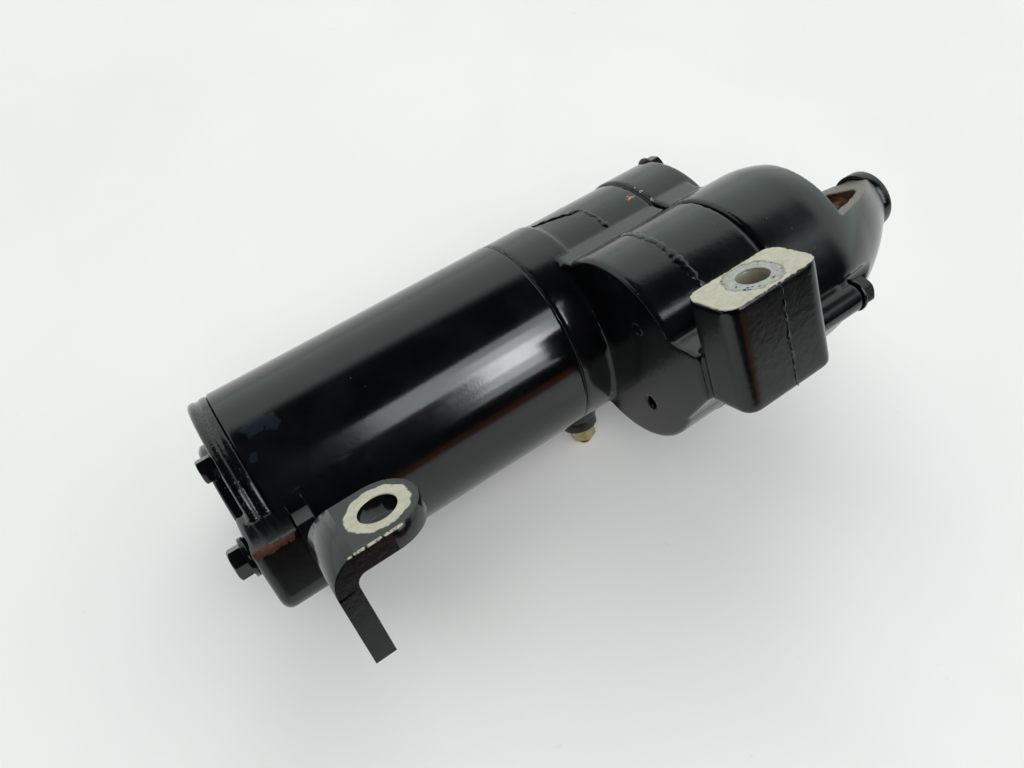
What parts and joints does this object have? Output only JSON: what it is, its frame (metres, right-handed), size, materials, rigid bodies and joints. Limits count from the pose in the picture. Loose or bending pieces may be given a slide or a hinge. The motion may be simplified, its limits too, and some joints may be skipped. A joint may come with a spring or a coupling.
{
  "type": "starter motor",
  "caption": "Offset-drive gear-reduction starter motor with side mounting block, bent rear support bracket and open-sided pinion nose.",
  "frame": {"origin": "centre of the front mounting bolt hole where it meets the block's bare upper face", "axes": "+X along the shafts towards the pinion nose, +Z out of the mounting face towards the engine, +Y from the mounting block towards the motor axis"},
  "size_m": [0.2874, 0.1633, 0.0975],
  "materials": {
    "case_black": "gloss black paint over cast iron and steel",
    "bolt_black": "gloss black paint over steel",
    "gasket": "dark sheet gasket",
    "seal_rubber": "moulded rubber",
    "ferrite": "dark grey sintered ferrite",
    "spring_steel": "drawn wire",
    "bearing_steel": "ground and polished",
    "gear_steel": "machined, oiled",
    "soft_iron": "machined soft iron",
    "copper": "bare and enamelled copper",
    "moulding": "dark brown phenolic moulding",
    "brass": "pressed brass",
    "carbon": "copper-carbon block",
    "bronze": "sintered bronze",
    "cap_black": "gloss black paint",
    "zinc_yellow": "yellow zinc plate",
    "lead_cover": "woven sleeving over copper"
  },
  "bodies": {
    "housing": {"yoke_tube": "case_black", "end_cover": "case_black", "rear_casting": "case_black", "nose_housing": "case_black", "support_bracket": "case_black", "through_bolts": "bolt_black", "bracket_bolt": "bolt_black", "bracket_bolt_washer": "bolt_black", "housing_bolts": "bolt_black", "housing_bolt_washers": "bolt_black", "front_gasket": "gasket", "seam_gasket": "gasket", "drive_seal": "seal_rubber", "field_magnets": "ferrite", "magnet_clips": "spring_steel", "brush_springs": "spring_steel", "plunger_spring": "spring_steel", "rear_bearing_outer_ring": "bearing_steel", "front_bearing_outer_ring": "bearing_steel", "clutch_bearing_outer_ring": "bearing_steel", "idler_pin": "gear_steel", "solenoid_front_plate": "soft_iron", "solenoid_coil": "copper", "fixed_contacts": "copper", "battery_stud": "copper", "brush_plate": "moulding", "coil_bobbin": "moulding", "stud_insulator": "moulding", "brush_holders": "brass", "brushes": "carbon", "nose_bush": "bronze", "sleeve_bush": "bronze", "nose_cap": "cap_black", "battery_nut": "zinc_yellow", "battery_lead": "lead_cover", "motor_lead": "lead_cover"},
    "armature": {"armature_shaft": "gear_steel", "armature_core": "soft_iron", "armature_windings": "copper", "commutator_hub": "moulding", "commutator_bars": "copper", "rear_bearing_inner_ring": "bearing_steel", "front_bearing_inner_ring": "bearing_steel"},
    "rear_ball_set": {"rear_bearing_balls": "bearing_steel"},
    "front_ball_set": {"front_bearing_balls": "bearing_steel"},
    "clutch_ball_set": {"clutch_bearing_balls": "bearing_steel"},
    "idler": {"idler_gear": "gear_steel"},
    "idler_roller_set": {"idler_rollers": "gear_steel"},
    "clutch_outer": {"clutch_gear": "gear_steel", "clutch_side_plate": "gear_steel", "clutch_rollers": "gear_steel"},
    "clutch_inner": {"clutch_sleeve": "gear_steel", "clutch_bearing_inner_ring": "bearing_steel"},
    "pinion": {"pinion_shaft": "gear_steel", "drive_pinion": "gear_steel", "pinion_stop_ring": "gear_steel"},
    "plunger_set": {"plunger": "soft_iron", "plunger_rod": "soft_iron", "contact_carrier": "moulding", "contact_disc": "copper"}
  },
  "joints": [
    {"name": "armature_spin", "type": "hinge", "parent": "housing", "child": "armature", "pos_m": [-0.0757, 0.1043, -0.0345], "axis": [1, 0, 0], "continuous": true},
    {"name": "rear_balls_orbit", "type": "hinge", "parent": "housing", "child": "rear_ball_set", "pos_m": [-0.1611, 0.1043, -0.0345], "axis": [1, 0, 0], "continuous": true},
    {"name": "front_balls_orbit", "type": "hinge", "parent": "housing", "child": "front_ball_set", "pos_m": [0.022, 0.1043, -0.0345], "axis": [1, 0, 0], "continuous": true},
    {"name": "idler_spin", "type": "hinge", "parent": "housing", "child": "idler", "pos_m": [0.0373, 0.09024, -0.04907], "axis": [1, 0, 0], "continuous": true},
    {"name": "idler_rollers_orbit", "type": "hinge", "parent": "housing", "child": "idler_roller_set", "pos_m": [0.0373, 0.09024, -0.04907], "axis": [1, 0, 0], "continuous": true},
    {"name": "clutch_gear_spin", "type": "hinge", "parent": "housing", "child": "clutch_outer", "pos_m": [0.0363, 0.0553, -0.0335], "axis": [1, 0, 0], "continuous": true},
    {"name": "overrun_spin", "type": "hinge", "parent": "clutch_outer", "child": "clutch_inner", "pos_m": [0.0443, 0.0553, -0.0335], "axis": [1, 0, 0], "continuous": true},
    {"name": "clutch_balls_orbit", "type": "hinge", "parent": "housing", "child": "clutch_ball_set", "pos_m": [0.0519, 0.0553, -0.0335], "axis": [1, 0, 0], "continuous": true},
    {"name": "pinion_slide", "type": "slide", "parent": "clutch_inner", "child": "pinion", "axis": [1, 0, 0], "range_m": [0, 0.012]},
    {"name": "plunger_slide", "type": "slide", "parent": "housing", "child": "plunger_set", "axis": [1, 0, 0], "range_m": [0, 0.012], "deforming": ["plunger_spring"]}
  ],
  "couplings": [
    {"joint": "rear_balls_orbit", "follows": "armature_spin", "ratio": 0.3756},
    {"joint": "front_balls_orbit", "follows": "armature_spin", "ratio": 0.3987},
    {"joint": "idler_spin", "follows": "armature_spin", "ratio": -0.58824},
    {"joint": "idler_rollers_orbit", "follows": "armature_spin", "ratio": -0.35294},
    {"joint": "clutch_gear_spin", "follows": "armature_spin", "ratio": 0.29412},
    {"joint": "clutch_balls_orbit", "follows": "armature_spin", "ratio": 0.12188},
    {"joint": "plunger_slide", "follows": "pinion_slide", "ratio": 1}
  ]
}
